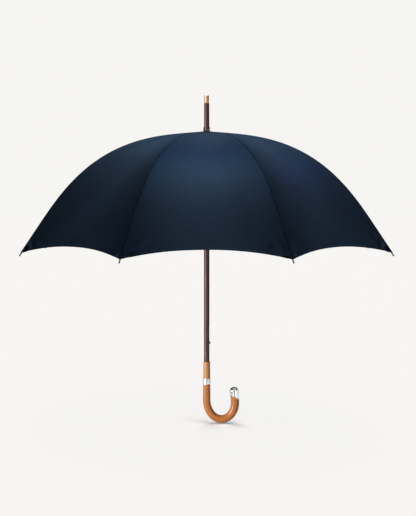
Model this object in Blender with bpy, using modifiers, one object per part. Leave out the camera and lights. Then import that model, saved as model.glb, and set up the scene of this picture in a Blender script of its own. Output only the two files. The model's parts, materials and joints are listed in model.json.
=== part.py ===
"""Stick umbrella: a wooden shaft and crook, eight ribs and stretchers, a runner and eight gores.

Metres, +Z up the shaft. The origin is on the shaft's axis, in the middle of the straight grip, and
the crook opens towards +X. The umbrella is modelled open.
"""
import math

import bmesh
import bpy
from mathutils import Matrix, Vector

# Dome: a rib's slope below the horizontal grows from the hub to the tip.
RIBS = 8
RIB_STEP = math.tau / RIBS
FIRST_RIB = RIB_STEP / 2
APEX_Z = 0.690
RIB_ARC = 0.642
SLOPE_START = math.radians(5.5)
SLOPE_GAIN = math.radians(50.0)
SLOPE_FROM = 0.06
SLOPE_SPAN = 0.82
DOME_STEPS = 160

# Cloth
CLOTH = 0.0005
GORE_HOLE = 0.0095
GORE_INSET = 0.00035
GORE_SAG = 0.007
HEM_SCALLOP = 0.029
GORE_ACROSS = 6
INNER_ROWS = 6
OUTER_ROWS = 8
ROSETTE_RADIUS = 0.017
ROSETTE_LIFT = 0.0004

# Ribs: a channel, open towards the shaft, whose top lies under the cloth
RIB_WIDTH = 0.0028
RIB_HEIGHT = 0.0026
RIB_WALL = 0.0006
RIB_TOP_DEPTH = 0.00145
EYE_RADIUS = 0.0019
EYE_HOLE = 0.0009
TAB_HALF = 0.0006
TAB_REACH = 0.0046
TAB_LENGTH = 0.011
TAB_SHOULDER = 0.004
TAB_FOOT = 0.0005
EAR_BEHIND = 0.008
EAR_AHEAD = 0.0019
FLEX_GAP = 0.0003

# Linkage: rib eye, rivet between rib and stretcher, and runner eye
RING_RADIUS = 0.0125
HUB_DROP = 0.0045
RIVET_ARC = 0.282
RIVET_DEPTH = 0.00675
RIVET_RADIUS = 0.0007
RIVET_HOLE = 0.001
RIVET_PROUD = 0.0004
FLEX_BEYOND_RIVET = 0.0022
CLOSED_LEAN = math.radians(1.3)

# Stretchers
STRETCHER_HALF_WIDTH = 0.0014
STRETCHER_HALF_HEIGHT = 0.0011
FORK_HALF_WIDTH = 0.0021
FORK_SLOT_HALF = 0.00095
FORK_LENGTH = 0.010
FORK_THICKER = 0.0003
FORK_WEB = 0.0035
FORK_CUT = 0.004
BAR_STOP = 0.006
EYE_NECK = 0.005
EYE_NECK_HALF = 0.0008

# Rib tips
TIP_SOCKET = 0.009
TIP_FLOOR = 0.0005
TIP_SHOULDER = 0.0015
TENON_ROOT = 0.006
TENON_SHORT = 0.001
TIP_SOCKET_RADIUS = 0.0017
TIP_PIN = 0.0092
TIP_PIN_RADIUS = 0.0015
TIP_BALL_RADIUS = 0.0021
TIP_TENON_RADIUS = 0.0008
TIP_BORE_RADIUS = 0.0011

# Shaft, ferrule and collar
SHAFT_RADIUS = 0.0075
SHAFT_TENON_RADIUS = 0.005
SHAFT_TENON = 0.050
SPIKE_RADIUS = 0.0072
SPIKE_TOP_RADIUS = 0.0070
FERRULE_RADIUS = 0.0061
FERRULE_LENGTH = 0.022
FERRULE_TOP = APEX_Z + 0.098
FERRULE_TENON_RADIUS = 0.0042
FERRULE_TENON = 0.014
FERRULE_EDGE = 0.0012
FERRULE_BEAD = 0.0003
COLLAR_HEIGHT = 0.0115
COLLAR_LIFT = 0.0006
COLLAR_RADIUS = 0.0088
COLLAR_FOOT_RADIUS = 0.0101
COLLAR_EDGE = 0.0005
SPIKE_BELOW = 0.010

# Slotted rings
GAP = 0.0003
RING_BORE = 0.0078
SLOT_INNER = 0.0104
SLOT_HALF = 0.00095
RIM_RADIUS = 0.0144
RIM_UNDER = 0.0006
SLOT_HALF_HEIGHT = 0.006
NECK_PIN_DROP = 0.0045
CUT_OVER = 0.002
RIM_HIGH = 0.0032
RIM_LOW = 0.0016
GROOVE_HALF = 0.0009
GROOVE_DEPTH = 0.0009
WIRE_RADIUS = 0.0005
NECK_RADIUS = 0.0100
NECK_LENGTH = 0.0105

# Runner
SLEEVE_BORE = 0.00785
SLEEVE_RADIUS = 0.0085
SLEEVE_BELOW = 0.066
SLEEVE_ABOVE = 0.0030
GRIP_RADIUS = 0.0118
GRIP_HEIGHT = 0.0050
GRIP_EDGE = 0.0011
SKIRT = 0.005
SKIRT_TAPER = 0.0004
WINDOW_HALF = 0.0019
WINDOW_LOW = 0.052
WINDOW_HIGH = 0.043

# Pins and spring catches
PIN_RADIUS = 0.0008
PIN_HOLE = 0.0011
STOP_PIN_HALF = 0.0103
SPRING_HALF = 0.0013
SPRING_SLOT_HALF = 0.0017
SPRING_SLOT_FLOOR = 0.0016
SPRING_LENGTH = 0.048
SPRING_PIVOT_X = 0.0040
SPRING_OUT = 0.0107
SPRING_EYE = 0.0018
SPRING_FLAT = 0.0035
SPRING_THICK_AT_RAMP = 0.0030
SPRING_RAMP_END = 0.0100
SPRING_BACK = 0.0003
SPRING_BACK_END = 0.0120
SPRING_HEEL = 0.0022
SPRING_HEEL_END = 0.0040
SLOT_PAST_PIVOT = 0.003
SLOT_PAST_LEDGE = 0.002
SLOT_MOUTH = 0.012

# Handle: two quarter ellipses join the grip to the nose
HANDLE_TOP = 0.054
HANDLE_RADIUS = 0.0095
NOSE_RADIUS = 0.0120
BEND_TOP = -0.053
BEND_HALF = 0.0408
BEND_DROP = 0.0545
NOSE_HALF = 0.0379
NOSE_DROP = 0.0455
NOSE_RISE = 0.099
NOSE_ANGLE = math.radians(21.0)
CAP_ANGLE = math.radians(6.3)
NOSE_DOME = 0.008
HANDLE_BORE = 0.0053
COLLAR_BAND_TOP = 0.0076
COLLAR_BAND_LENGTH = 0.0165
BAND_CLEARANCE = 0.00085
BAND_THICKNESS = 0.0006
BAND_EDGE = 0.0003
BORE_DEEPER = 0.001
GRIP_STATIONS = (0.030, 0.0, -0.028)
CAP_CLEARANCE = 0.00045
CAP_THICKNESS = 0.0006

# Strap and button, on the gore behind the handle's plane
STRAP_RIB = 2
STRAP_OFFSET = 0.022
STRAP_HALF = 0.008
STRAP_THICKNESS = 0.0009
STRAP_FROM = 0.470
STRAP_TO = 0.598
STRAP_LIFT = 0.0008
STRAP_SEGMENTS = 10
BUTTON_RADIUS = 0.0065
BUTTON_HEIGHT = 0.0022
BUTTON_BACK = 0.014

ROUND = 24
NAVY = (0.016, 0.026, 0.042)
DARK_WOOD = (0.060, 0.022, 0.016)
TAN_WOOD = (0.560, 0.215, 0.065)
BRASS = (0.620, 0.390, 0.210)
SILVER = (0.830, 0.840, 0.840)
BLACK_STEEL = (0.020, 0.021, 0.024)
BRIGHT_STEEL = (0.520, 0.530, 0.550)


# ---------------------------------------------------------------- dome and linkage

def slope(arc):
    """Angle of the dome below the horizontal, at a distance along a rib from the axis."""
    t = (arc / RIB_ARC - SLOPE_FROM) / SLOPE_SPAN
    t = min(max(t, 0.0), 1.0)
    return SLOPE_START + SLOPE_GAIN * t * t * (3.0 - 2.0 * t)


def dome(arc, depth=0.0):
    """Radius and height of a point that far along a rib and that deep under the cloth's face."""
    step = arc / DOME_STEPS
    radius = 0.0
    height = APEX_Z
    for i in range(DOME_STEPS):
        angle = slope((i + 0.5) * step)
        radius += math.cos(angle) * step
        height -= math.sin(angle) * step
    angle = slope(arc)
    return Vector((radius - math.sin(angle) * depth, 0.0, height - math.cos(angle) * depth))


def rib_angle(index):
    """Azimuth of rib 1 to 8."""
    return FIRST_RIB + (index - 1) * RIB_STEP


def turned_to(index):
    """Turn from the XZ plane to the plane of a rib."""
    return Matrix.Rotation(rib_angle(index), 4, "Z")


HUB = Vector((RING_RADIUS, 0.0, APEX_Z - HUB_DROP))
RIVET = dome(RIVET_ARC, RIVET_DEPTH)
RUNNER = Vector((RING_RADIUS, 0.0, 2.0 * RIVET.z - HUB.z))
LINK = (RIVET - HUB).length
OPEN_LEAN = math.atan2(RIVET.x - HUB.x, HUB.z - RIVET.z)
RUNNER_CLOSED_Z = HUB.z - 2.0 * LINK * math.cos(CLOSED_LEAN)
FLEX_ARC = RIVET_ARC + FLEX_BEYOND_RIVET
FLEX = dome(FLEX_ARC, RIB_TOP_DEPTH)
RIB_AXIS_DEPTH = RIB_TOP_DEPTH + RIB_HEIGHT / 2
TIP_DEPTH = RIB_AXIS_DEPTH - 0.0004
RUNNER_TOP_Z = RUNNER.z + RIM_HIGH
LEDGE_Z = RUNNER.z - SLEEVE_BELOW - GAP
CATCH_Z = RUNNER_CLOSED_Z - WINDOW_LOW + GAP


# ---------------------------------------------------------------- scene and materials

def clear_scene():
    """Remove the objects of the open file."""
    for obj in list(bpy.data.objects):
        bpy.data.objects.remove(obj, do_unlink=True)


def collection(name):
    """A new collection in the scene."""
    made = bpy.data.collections.new(name)
    bpy.context.scene.collection.children.link(made)
    return made


def material(name, colour, roughness, metallic=0.0):
    """A plain Principled material."""
    made = bpy.data.materials.new(name)
    made.use_nodes = True
    shader = made.node_tree.nodes["Principled BSDF"]
    shader.inputs["Base Color"].default_value = (*colour, 1.0)
    shader.inputs["Roughness"].default_value = roughness
    shader.inputs["Metallic"].default_value = metallic
    return made


def add_object(name, mesh, finish=None, helper=False):
    """Link a mesh as a part, or as a hidden helper."""
    obj = bpy.data.objects.new(name, mesh)
    if helper:
        HELPERS.objects.link(obj)
        obj.hide_render = True
        obj.display_type = "WIRE"
    else:
        PARTS.objects.link(obj)
        mesh.materials.clear()
        mesh.materials.append(finish)
    return obj


def baked(obj):
    """The evaluated mesh of an object, welded, in world coordinates."""
    bpy.context.view_layer.update()
    depsgraph = bpy.context.evaluated_depsgraph_get()
    mesh = bpy.data.meshes.new_from_object(obj.evaluated_get(depsgraph))
    mesh.transform(obj.matrix_world)
    shape = bmesh.new()
    shape.from_mesh(mesh)
    bmesh.ops.remove_doubles(shape, verts=shape.verts, dist=1e-6)
    bmesh.ops.recalc_face_normals(shape, faces=shape.faces)
    shape.to_mesh(mesh)
    shape.free()
    return mesh


# ---------------------------------------------------------------- shapes

def boolean(target, tool, operation):
    """Cut or join a target with a helper object."""
    change = target.modifiers.new(operation.lower(), "BOOLEAN")
    change.operation = operation
    change.solver = "EXACT"
    change.object = tool


def plate(name, outlines, half):
    """Mesh of flat outlines in the XZ plane, from -half to +half along Y."""
    curve = bpy.data.curves.new(name, "CURVE")
    curve.dimensions = "2D"
    curve.fill_mode = "BOTH"
    curve.extrude = half
    for outline in outlines:
        spline = curve.splines.new("POLY")
        spline.points.add(len(outline) - 1)
        for point, (x, z) in zip(spline.points, outline):
            point.co = (x, z, 0.0, 1.0)
        spline.use_cyclic_u = True
    drawn = bpy.data.objects.new(name, curve)
    HELPERS.objects.link(drawn)
    drawn.rotation_euler.x = math.pi / 2
    mesh = baked(drawn)
    bpy.data.objects.remove(drawn)
    return mesh


def tube(name, points, radii, resolution=6):
    """Mesh of a round rod along points, with a radius at each."""
    curve = bpy.data.curves.new(name, "CURVE")
    curve.dimensions = "3D"
    curve.bevel_depth = 1.0
    curve.bevel_resolution = resolution
    curve.use_fill_caps = True
    spline = curve.splines.new("POLY")
    spline.points.add(len(points) - 1)
    for point, place, radius in zip(spline.points, points, radii):
        point.co = (*place, 1.0)
        point.radius = radius
    drawn = bpy.data.objects.new(name, curve)
    HELPERS.objects.link(drawn)
    mesh = baked(drawn)
    bpy.data.objects.remove(drawn)
    return mesh


def ring_wire(name, radius, height):
    """Mesh of a closed wire ring about the Z axis."""
    curve = bpy.data.curves.new(name, "CURVE")
    curve.dimensions = "3D"
    curve.bevel_depth = WIRE_RADIUS
    curve.bevel_resolution = 2
    spline = curve.splines.new("POLY")
    spline.points.add(ROUND - 1)
    for i, point in enumerate(spline.points):
        angle = math.tau * i / ROUND
        point.co = (radius * math.cos(angle), radius * math.sin(angle), height, 1.0)
    spline.use_cyclic_u = True
    drawn = bpy.data.objects.new(name, curve)
    HELPERS.objects.link(drawn)
    mesh = baked(drawn)
    bpy.data.objects.remove(drawn)
    return mesh


def profile_mesh(name, profile, closed):
    """Mesh of a profile line in the XZ plane."""
    mesh = bpy.data.meshes.new(name)
    edges = [(i, i + 1) for i in range(len(profile) - 1)]
    if closed:
        edges.append((len(profile) - 1, 0))
    mesh.from_pydata([(x, 0.0, z) for x, z in profile], edges, [])
    return mesh


def turn(obj, steps=ROUND):
    """Turn an object's profile about its Z axis."""
    screw = obj.modifiers.new("turn", "SCREW")
    screw.steps = steps
    screw.render_steps = steps
    screw.use_merge_vertices = True
    screw.merge_threshold = 0.00001


def solids(name, *makers):
    """One helper object of several separate closed solids."""
    shape = bmesh.new()
    for make in makers:
        make(shape)
    mesh = bpy.data.meshes.new(name)
    shape.to_mesh(mesh)
    shape.free()
    return add_object(name, mesh, helper=True)


def box(low, high, turned=0.0):
    """Maker of a box between two corners, turned about the Z axis."""
    size = Vector(high) - Vector(low)
    place = Matrix.Translation((Vector(high) + Vector(low)) / 2)
    around = Matrix.Rotation(turned, 4, "Z")
    whole = around @ place @ Matrix.Diagonal((*size, 1.0))
    return lambda shape: bmesh.ops.create_cube(shape, size=1.0, matrix=whole)


def rod(radius, half, centre, axis="Y", segments=16):
    """Maker of a cylinder about an axis through its centre."""
    spin = {"X": Matrix.Rotation(math.pi / 2, 4, "Y"), "Z": Matrix.Identity(4)}
    spin["Y"] = Matrix.Rotation(math.pi / 2, 4, "X")
    whole = Matrix.Translation(centre) @ spin[axis]
    return lambda shape: bmesh.ops.create_cone(
        shape, cap_ends=True, segments=segments, radius1=radius, radius2=radius,
        depth=2.0 * half, matrix=whole)


def arc_points(centre, radius, start, end, count):
    """Points on an arc in the XZ plane, as (x, z)."""
    angles = [start + (end - start) * i / count for i in range(count + 1)]
    return [(centre[0] + radius * math.cos(a), centre[1] + radius * math.sin(a)) for a in angles]


def circle(centre, radius, count=10):
    """A closed circle in the XZ plane, as (x, z)."""
    return arc_points(centre, radius, 0.0, math.tau * (count - 1) / count, count - 1)


def placed(points, origin, angle):
    """Outline points turned by an angle below the X axis and moved to an origin."""
    along = (math.cos(angle), -math.sin(angle))
    up = (math.sin(angle), math.cos(angle))
    return [(origin.x + x * along[0] + z * up[0], origin.z + x * along[1] + z * up[1])
            for x, z in points]


# ---------------------------------------------------------------- nodes placed on their joints

def at_joint(name, mesh, joint, index, finish):
    """An object whose origin is on a joint of rib 1 to 8; the mesh is made in the XZ plane."""
    obj = add_object(name, mesh, finish)
    obj.matrix_world = turned_to(index) @ Matrix.Translation(joint)
    return obj


def follow(child, parent):
    """Parent a child and leave it where it is."""
    bpy.context.view_layer.update()
    place = child.matrix_world.copy()
    child.parent = parent
    child.matrix_parent_inverse = parent.matrix_world.inverted()
    child.matrix_world = place


def from_joint(template, joint):
    """A template's evaluated mesh, measured from a joint."""
    mesh = baked(template)
    mesh.transform(Matrix.Translation(-joint))
    return mesh


# ---------------------------------------------------------------- ribs

def stations():
    """Distances along a rib at which both the cloth and the ribs have their corners."""
    inner = [GORE_HOLE + (FLEX_ARC - GORE_HOLE) * j / INNER_ROWS for j in range(INNER_ROWS)]
    outer = [FLEX_ARC + (RIB_ARC - FLEX_ARC) * j / OUTER_ROWS for j in range(OUTER_ROWS + 1)]
    return inner + outer


def band(first, last, top, bottom):
    """Outline of a strip along the dome between two depths."""
    between = [arc for arc in stations() if first + CUT_OVER < arc < last - CUT_OVER]
    arcs = [first, *between, last]
    upper = [dome(arc, top) for arc in arcs]
    lower = [dome(arc, bottom) for arc in reversed(arcs)]
    return [(p.x, p.z) for p in upper + lower]


def channel(name, first, last):
    """Helper object: the rib's channel from one distance along the dome to another."""
    bottom = RIB_TOP_DEPTH + RIB_HEIGHT
    solid = plate(name, [band(first, last, RIB_TOP_DEPTH, bottom)], RIB_WIDTH / 2)
    hollow_band = band(first - CUT_OVER, last + CUT_OVER, RIB_TOP_DEPTH + RIB_WALL,
                       bottom + CUT_OVER / 2)
    hollow = plate(name + "_hollow", [hollow_band], RIB_WIDTH / 2 - RIB_WALL)
    rib = add_object(name, solid, helper=True)
    boolean(rib, add_object(name + "_hollow", hollow, helper=True), "DIFFERENCE")
    return rib


def rib_inner_template():
    """Inner rib: channel, hub eye and rivet ear."""
    first = RING_RADIUS + TAB_REACH
    last = FLEX_ARC - FLEX_GAP / 2
    rib = channel("rib_inner_template", first, last)
    lift = HUB_DROP - RIB_TOP_DEPTH - RIB_WALL / 2 - RING_RADIUS * math.tan(SLOPE_START)
    eye = arc_points((0.0, 0.0), EYE_RADIUS, math.pi * 0.6, math.pi * 1.5, 7)
    outline = [(TAB_LENGTH, lift), (TAB_SHOULDER, lift), *eye, (TAB_LENGTH, TAB_FOOT)]
    tab = plate("hub_tab", [placed(outline, HUB, SLOPE_START), circle((HUB.x, HUB.z), EYE_HOLE)],
                TAB_HALF)
    boolean(rib, add_object("hub_tab", tab, helper=True), "UNION")
    top = RIVET_DEPTH - RIB_TOP_DEPTH - RIB_WALL / 2
    ear_eye = arc_points((0.0, 0.0), EYE_RADIUS, 0.0, -math.pi, 7)
    ear_outline = [(-EAR_BEHIND, top), (EAR_AHEAD, top), *ear_eye]
    ear = plate("rivet_ear", [placed(ear_outline, RIVET, slope(RIVET_ARC)),
                              circle((RIVET.x, RIVET.z), RIVET_HOLE)], TAB_HALF)
    boolean(rib, add_object("rivet_ear", ear, helper=True), "UNION")
    return rib


def rib_outer_template():
    """Outer rib: channel and a round end for the tip's socket."""
    first = FLEX_ARC + FLEX_GAP / 2
    last = RIB_ARC - TIP_SOCKET - GAP
    rib = channel("rib_outer_template", first, last)
    start = dome(last - TENON_ROOT, TIP_DEPTH)
    end = dome(last, TIP_DEPTH)
    tenon_end = end + (end - start).normalized() * (TIP_SOCKET - TENON_SHORT)
    tenon = tube("tip_tenon", [start, tenon_end], [TIP_TENON_RADIUS] * 2, 4)
    boolean(rib, add_object("tip_tenon", tenon, helper=True), "UNION")
    return rib


def stretcher_template():
    """Stretcher: bar, fork with its rivet, and runner eye."""
    length = (RUNNER - RIVET).length
    lean = math.atan2(RIVET.z - RUNNER.z, RIVET.x - RUNNER.x)
    half = STRETCHER_HALF_HEIGHT
    bar_outline = [(-length + TAB_REACH, -half), (-BAR_STOP, -half), (-BAR_STOP, half),
                   (-length + TAB_REACH, half)]
    bar = plate("stretcher_bar", [placed(bar_outline, RIVET, -lean)], STRETCHER_HALF_WIDTH)
    stretcher = add_object("stretcher_template", bar, helper=True)
    eye = arc_points((-length, 0.0), EYE_RADIUS, math.pi / 2, math.pi * 1.5, 7)
    neck = -length + TAB_REACH + EYE_NECK
    eye_outline = [(neck, EYE_NECK_HALF), *eye, (neck, -EYE_NECK_HALF)]
    tab = plate("runner_tab", [placed(eye_outline, RIVET, -lean),
                               circle((RUNNER.x, RUNNER.z), EYE_HOLE)], TAB_HALF)
    boolean(stretcher, add_object("runner_tab", tab, helper=True), "UNION")
    fork_end = arc_points((0.0, 0.0), EYE_RADIUS, -math.pi / 2, math.pi / 2, 7)
    thicker = half + FORK_THICKER
    fork_outline = [(-FORK_LENGTH, -thicker), *fork_end, (-FORK_LENGTH, thicker)]
    fork = plate("fork", [placed(fork_outline, RIVET, -lean)], FORK_HALF_WIDTH)
    boolean(stretcher, add_object("fork", fork, helper=True), "UNION")
    reach = FORK_LENGTH - FORK_WEB
    high = FORK_CUT
    slot_outline = [(-reach, -high), (high, -high), (high, high), (-reach, high)]
    slot = plate("fork_slot", [placed(slot_outline, RIVET, -lean)], FORK_SLOT_HALF)
    boolean(stretcher, add_object("fork_slot", slot, helper=True), "DIFFERENCE")
    rivet = solids("rivet", rod(RIVET_RADIUS, FORK_HALF_WIDTH + RIVET_PROUD, RIVET, segments=10))
    boolean(stretcher, rivet, "UNION")
    return stretcher


def tip_mesh():
    """Turned rib tip: socket, pin and ball, pointing down the Z axis from its mouth."""
    ball_centre = -TIP_SOCKET - TIP_PIN + TIP_BALL_RADIUS
    start = math.asin(TIP_PIN_RADIUS / TIP_BALL_RADIUS)
    ball = arc_points((0.0, ball_centre), TIP_BALL_RADIUS, math.pi / 2 - start, -math.pi / 2, 5)
    floor = -TIP_SOCKET + TIP_FLOOR
    profile = [(0.0, floor), (TIP_BORE_RADIUS, floor), (TIP_BORE_RADIUS, 0.0),
               (TIP_SOCKET_RADIUS, 0.0), (TIP_SOCKET_RADIUS, -TIP_SOCKET),
               (TIP_PIN_RADIUS, -TIP_SOCKET - TIP_SHOULDER),
               *ball[:-1], (0.0, ball_centre - TIP_BALL_RADIUS)]
    drawn = add_object("tip_template", profile_mesh("tip", profile, False), helper=True)
    turn(drawn, 8)
    mesh = baked(drawn)
    bpy.data.objects.remove(drawn)
    return mesh


# ---------------------------------------------------------------- cloth

def hem_arc(across):
    """Distance from the axis to the hem, across 0 to 1 between two ribs."""
    return RIB_ARC - HEM_SCALLOP * 4.0 * across * (1.0 - across)


def gore_point(across, arc, lift=0.0):
    """A point of a gore's outer face, across 0 to 1 between two ribs."""
    edge = dome(arc, -lift)
    inset = GORE_INSET / (2.0 * edge.x * math.sin(RIB_STEP / 2))
    share = inset + (1.0 - 2.0 * inset) * across
    first = Vector((edge.x, 0.0, edge.z))
    second = Matrix.Rotation(RIB_STEP, 3, "Z") @ first
    point = first.lerp(second, share)
    sag = GORE_SAG * math.sin(math.pi * across) ** 2 * math.sin(math.pi * arc / RIB_ARC * 0.8)
    tilt = slope(arc)
    middle = RIB_STEP / 2
    inward = Vector((-math.sin(tilt) * math.cos(middle), -math.sin(tilt) * math.sin(middle),
                     -math.cos(tilt)))
    return point + inward * sag


def gore_mesh():
    """Closed solid of one gore, from rib 0 to the next, measured from the hub joint."""
    rows = []
    for station in stations():
        row = []
        for i in range(GORE_ACROSS + 1):
            across = i / GORE_ACROSS
            share = max(0.0, station - FLEX_ARC) / (RIB_ARC - FLEX_ARC)
            row.append(gore_point(across, station - share * (RIB_ARC - hem_arc(across))))
        rows.append(row)
    return thick_sheet("gore", rows, -CLOTH, HUB)


def thick_sheet(name, rows, thickness, origin):
    """Closed solid over a grid of points; a positive thickness grows outwards."""
    width = len(rows[0])
    verts = [point - origin for row in rows for point in row]
    faces = []
    for j in range(len(rows) - 1):
        for i in range(width - 1):
            corner = j * width + i
            faces.append((corner, corner + width, corner + width + 1, corner + 1))
    mesh = bpy.data.meshes.new(name)
    mesh.from_pydata(verts, [], faces)
    drawn = add_object(name + "_template", mesh, helper=True)
    thick = drawn.modifiers.new("thickness", "SOLIDIFY")
    thick.thickness = abs(thickness)
    thick.offset = 1.0 if thickness > 0 else -1.0
    made = baked(drawn)
    bpy.data.objects.remove(drawn)
    return made


def strap_point(offset, arc):
    """A point over the gore beside the strap's rib."""
    chord = 2.0 * dome(arc).x * math.sin(RIB_STEP / 2)
    return gore_point(offset / chord, arc, STRAP_LIFT)


def make_strap():
    """Tie strap, lying on the cloth, with the button on its free end."""
    rows = []
    for j in range(STRAP_SEGMENTS + 1):
        arc = STRAP_FROM + (STRAP_TO - STRAP_FROM) * j / STRAP_SEGMENTS
        rows.append([strap_point(STRAP_OFFSET + side * STRAP_HALF, arc) for side in (-1, 0, 1)])
    mesh = thick_sheet("strap", rows, STRAP_THICKNESS, FLEX)
    strap = at_joint("tie_strap", mesh, FLEX, STRAP_RIB, CLOTH_FINISH)
    arc = STRAP_TO - BUTTON_BACK
    centre = strap_point(STRAP_OFFSET, arc)
    beside = strap_point(STRAP_OFFSET + STRAP_HALF, arc)
    lower = strap_point(STRAP_OFFSET, arc + 0.004)
    normal = (lower - centre).cross(beside - centre).normalized()
    half = BUTTON_HEIGHT / 2
    profile = [(0.0, half), (BUTTON_RADIUS * 0.55, half), (BUTTON_RADIUS * 0.85, half * 0.7),
               (BUTTON_RADIUS, 0.0), (BUTTON_RADIUS, -half), (0.0, -half)]
    button = add_object("tie_button", profile_mesh("button", profile, False), STEEL_FINISH)
    turn(button, 20)
    place = centre + normal * (STRAP_THICKNESS + GAP + half)
    facing = normal.to_track_quat("Z", "Y").to_matrix().to_4x4()
    button.matrix_world = turned_to(STRAP_RIB) @ Matrix.Translation(place) @ facing
    return strap, button


def make_rosette():
    """Round patch of cloth over the ends of the gores."""
    fall = math.tan(SLOPE_START)
    inner = RING_BORE + GAP
    low = APEX_Z + ROSETTE_LIFT
    profile = [(inner, low + CLOTH - inner * fall),
               (ROSETTE_RADIUS, low + CLOTH - ROSETTE_RADIUS * fall),
               (ROSETTE_RADIUS, low - ROSETTE_RADIUS * fall), (inner, low - inner * fall)]
    rosette = add_object("apex_rosette", profile_mesh("rosette", profile, True), CLOTH_FINISH)
    turn(rosette)


# ---------------------------------------------------------------- shaft and its fittings

def make_shaft():
    """Shaft with its end tenons, catch slots and pin holes."""
    foot = HANDLE_TOP + GAP
    spike_top = FERRULE_TOP - FERRULE_LENGTH - GAP
    profile = [(0.0, spike_top + FERRULE_TENON), (FERRULE_TENON_RADIUS, spike_top + FERRULE_TENON),
               (FERRULE_TENON_RADIUS, spike_top), (SPIKE_TOP_RADIUS, spike_top),
               (SPIKE_RADIUS, APEX_Z + COLLAR_HEIGHT), (SHAFT_RADIUS, APEX_Z - SPIKE_BELOW),
               (SHAFT_RADIUS, foot), (SHAFT_TENON_RADIUS, foot),
               (SHAFT_TENON_RADIUS, foot - SHAFT_TENON), (0.0, foot - SHAFT_TENON)]
    shaft = add_object("shaft", profile_mesh("shaft", profile, False), DARK_WOOD_FINISH)
    turn(shaft)
    slots = solids(
        "catch_slots",
        box((SPRING_SLOT_FLOOR, -SPRING_SLOT_HALF, LEDGE_Z - SPRING_LENGTH - SLOT_PAST_PIVOT),
            (SLOT_MOUTH, SPRING_SLOT_HALF, LEDGE_Z + SLOT_PAST_LEDGE)),
        box((SPRING_SLOT_FLOOR, -SPRING_SLOT_HALF, CATCH_Z - SLOT_PAST_LEDGE),
            (SLOT_MOUTH, SPRING_SLOT_HALF, CATCH_Z + SPRING_LENGTH + SLOT_PAST_PIVOT)))
    boolean(shaft, slots, "DIFFERENCE")
    holes = solids("shaft_holes", *[rod(PIN_HOLE, SLOT_MOUTH, (x, 0.0, z)) for x, z, _ in pins()])
    boolean(shaft, holes, "DIFFERENCE")


def pins():
    """Each cross pin's distance from the axis, height and half length."""
    flush = math.sqrt(SHAFT_RADIUS ** 2 - SPRING_PIVOT_X ** 2) - GAP
    return [(0.0, HUB.z - RIM_HIGH - NECK_PIN_DROP, NECK_RADIUS - GAP),
            (0.0, RUNNER_TOP_Z + GAP + PIN_RADIUS, STOP_PIN_HALF),
            (SPRING_PIVOT_X, LEDGE_Z - SPRING_LENGTH, flush),
            (SPRING_PIVOT_X, CATCH_Z + SPRING_LENGTH, flush)]


def make_pins():
    """The four cross pins of the shaft."""
    names = ["top_notch_pin", "stop_pin", "top_spring_pin", "hand_spring_pin"]
    for name, (x, z, half) in zip(names, pins()):
        shape = bmesh.new()
        rod(PIN_RADIUS, half, (0.0, 0.0, 0.0))(shape)
        mesh = bpy.data.meshes.new(name)
        shape.to_mesh(mesh)
        shape.free()
        pin = add_object(name, mesh, STEEL_FINISH)
        pin.location = (x, 0.0, z)


def make_ferrule():
    """Brass tip, a deep cup over the spike's end."""
    base = FERRULE_TOP - FERRULE_LENGTH
    bore = FERRULE_TENON_RADIUS + GAP
    floor = base + FERRULE_TENON + GAP
    edge = FERRULE_EDGE
    bead = FERRULE_RADIUS + FERRULE_BEAD
    profile = [(0.0, FERRULE_TOP), (FERRULE_RADIUS - edge, FERRULE_TOP),
               (FERRULE_RADIUS - edge / 4, FERRULE_TOP - edge / 3),
               (FERRULE_RADIUS, FERRULE_TOP - edge), (FERRULE_RADIUS, base + edge * 1.5),
               (bead, base + edge), (bead, base),
               (bore, base), (bore, floor), (0.0, floor)]
    tip = add_object("ferrule_tip", profile_mesh("ferrule", profile, False), BRASS_FINISH)
    turn(tip)


def make_apex_collar():
    """Turned collar that presses the cloth down at the apex."""
    low = APEX_Z + COLLAR_LIFT
    top = APEX_Z + COLLAR_HEIGHT
    bore = RING_BORE
    edge = COLLAR_EDGE
    foot = COLLAR_FOOT_RADIUS
    profile = [(bore, top), (COLLAR_RADIUS - edge, top), (COLLAR_RADIUS, top - 2.0 * edge),
               (COLLAR_RADIUS, low + 6.0 * edge), (foot - edge, low + 4.0 * edge),
               (foot, low + edge), (foot - edge, low), (bore, low)]
    collar = add_object("apex_collar", profile_mesh("apex_collar", profile, True),
                        DARK_WOOD_FINISH)
    turn(collar)


def ring_cutters(name, centre_z, opens_up):
    """Helper: the wire's groove in a slotted ring."""
    depth = -GROOVE_DEPTH if opens_up else GROOVE_DEPTH
    mouth = RIM_RADIUS if opens_up else -RIM_RADIUS
    inner = RING_RADIUS - GROOVE_HALF
    outer = RING_RADIUS + GROOVE_HALF
    high = max(depth, mouth) + centre_z
    low = min(depth, mouth) + centre_z
    profile = [(inner, high), (outer, high), (outer, low), (inner, low)]
    groove = add_object(name, profile_mesh(name, profile, True), helper=True)
    turn(groove)
    return groove


def slot_cutters(name, centre_z):
    """Helper: eight radial slots."""
    low = (SLOT_INNER, -SLOT_HALF, centre_z - SLOT_HALF_HEIGHT)
    high = (RIM_RADIUS + CUT_OVER, SLOT_HALF, centre_z + SLOT_HALF_HEIGHT)
    return solids(name, *[box(low, high, rib_angle(k)) for k in range(1, RIBS + 1)])


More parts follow.
